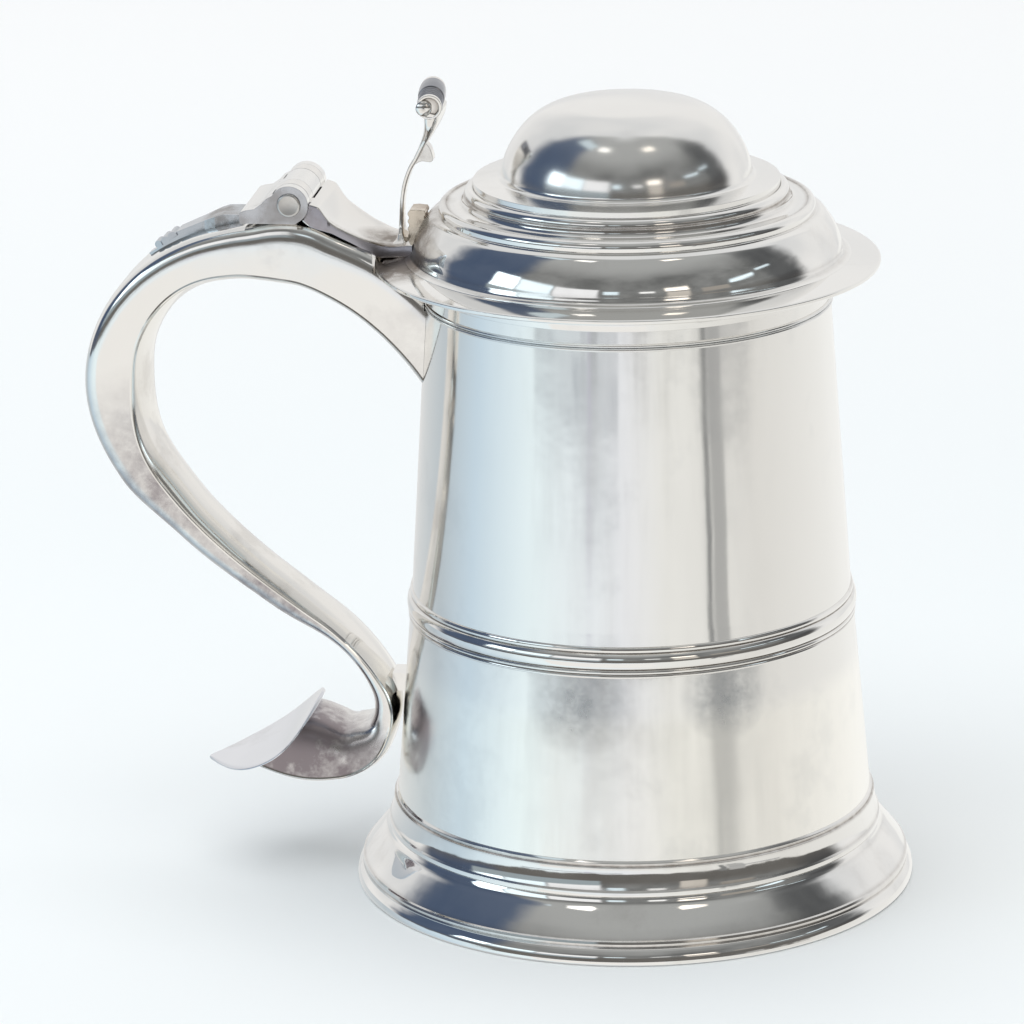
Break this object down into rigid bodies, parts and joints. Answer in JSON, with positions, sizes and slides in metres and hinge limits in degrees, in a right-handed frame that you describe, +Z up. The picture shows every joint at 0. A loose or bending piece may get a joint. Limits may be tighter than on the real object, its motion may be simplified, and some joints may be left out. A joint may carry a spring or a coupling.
{
  "type": "tankard",
  "caption": "Lidded tankard with a tapered drum on a spreading foot, a stepped domed lid on a knuckle hinge, an upright thumbpiece and a hollow scroll handle.",
  "frame": {"origin": "centre of the foot ring's underside, on the table", "axes": "+Z up along the drum's axis, -X towards the handle and hinge, Y along the hinge pin"},
  "size_m": [0.1995, 0.136, 0.1959],
  "materials": {
    "bright_metal": "hand-polished bright metal with fine wear marks",
    "tarnished_metal": "polished metal with brown tarnish and solder flow at the joint",
    "pin_metal": "hammered pin end, slightly dented"
  },
  "bodies": {
    "tankard": {"drum": "bright_metal", "drum_base": "bright_metal", "lip_rim": "bright_metal", "lip_moulding": "bright_metal", "girdle_band": "bright_metal", "foot_collar": "bright_metal", "foot_skirt": "bright_metal", "foot_wire": "bright_metal", "handle_back": "bright_metal", "handle_strip": "bright_metal", "handle_shield": "bright_metal", "handle_strut": "tarnished_metal", "hinge_drop": "bright_metal", "hinge_plate": "bright_metal", "hinge_pin": "pin_metal", "pin_caps": "pin_metal"},
    "lid": {"lid_dome": "bright_metal", "lid_step": "bright_metal", "lid_ovolo": "bright_metal", "lid_rim": "bright_metal", "lid_bezel": "bright_metal", "hinge_strap": "bright_metal", "strap_root": "tarnished_metal", "thumb_stem": "bright_metal", "thumb_scroll": "bright_metal", "thumb_bosses": "bright_metal", "thumb_bud": "bright_metal", "thumb_bracket": "bright_metal"}
  },
  "joints": [
    {"name": "lid_hinge", "type": "hinge", "parent": "tankard", "child": "lid", "pos_m": [-0.079, 0, 0.1688], "axis": [0, -1, 0], "range_deg": [0, 110]}
  ]
}
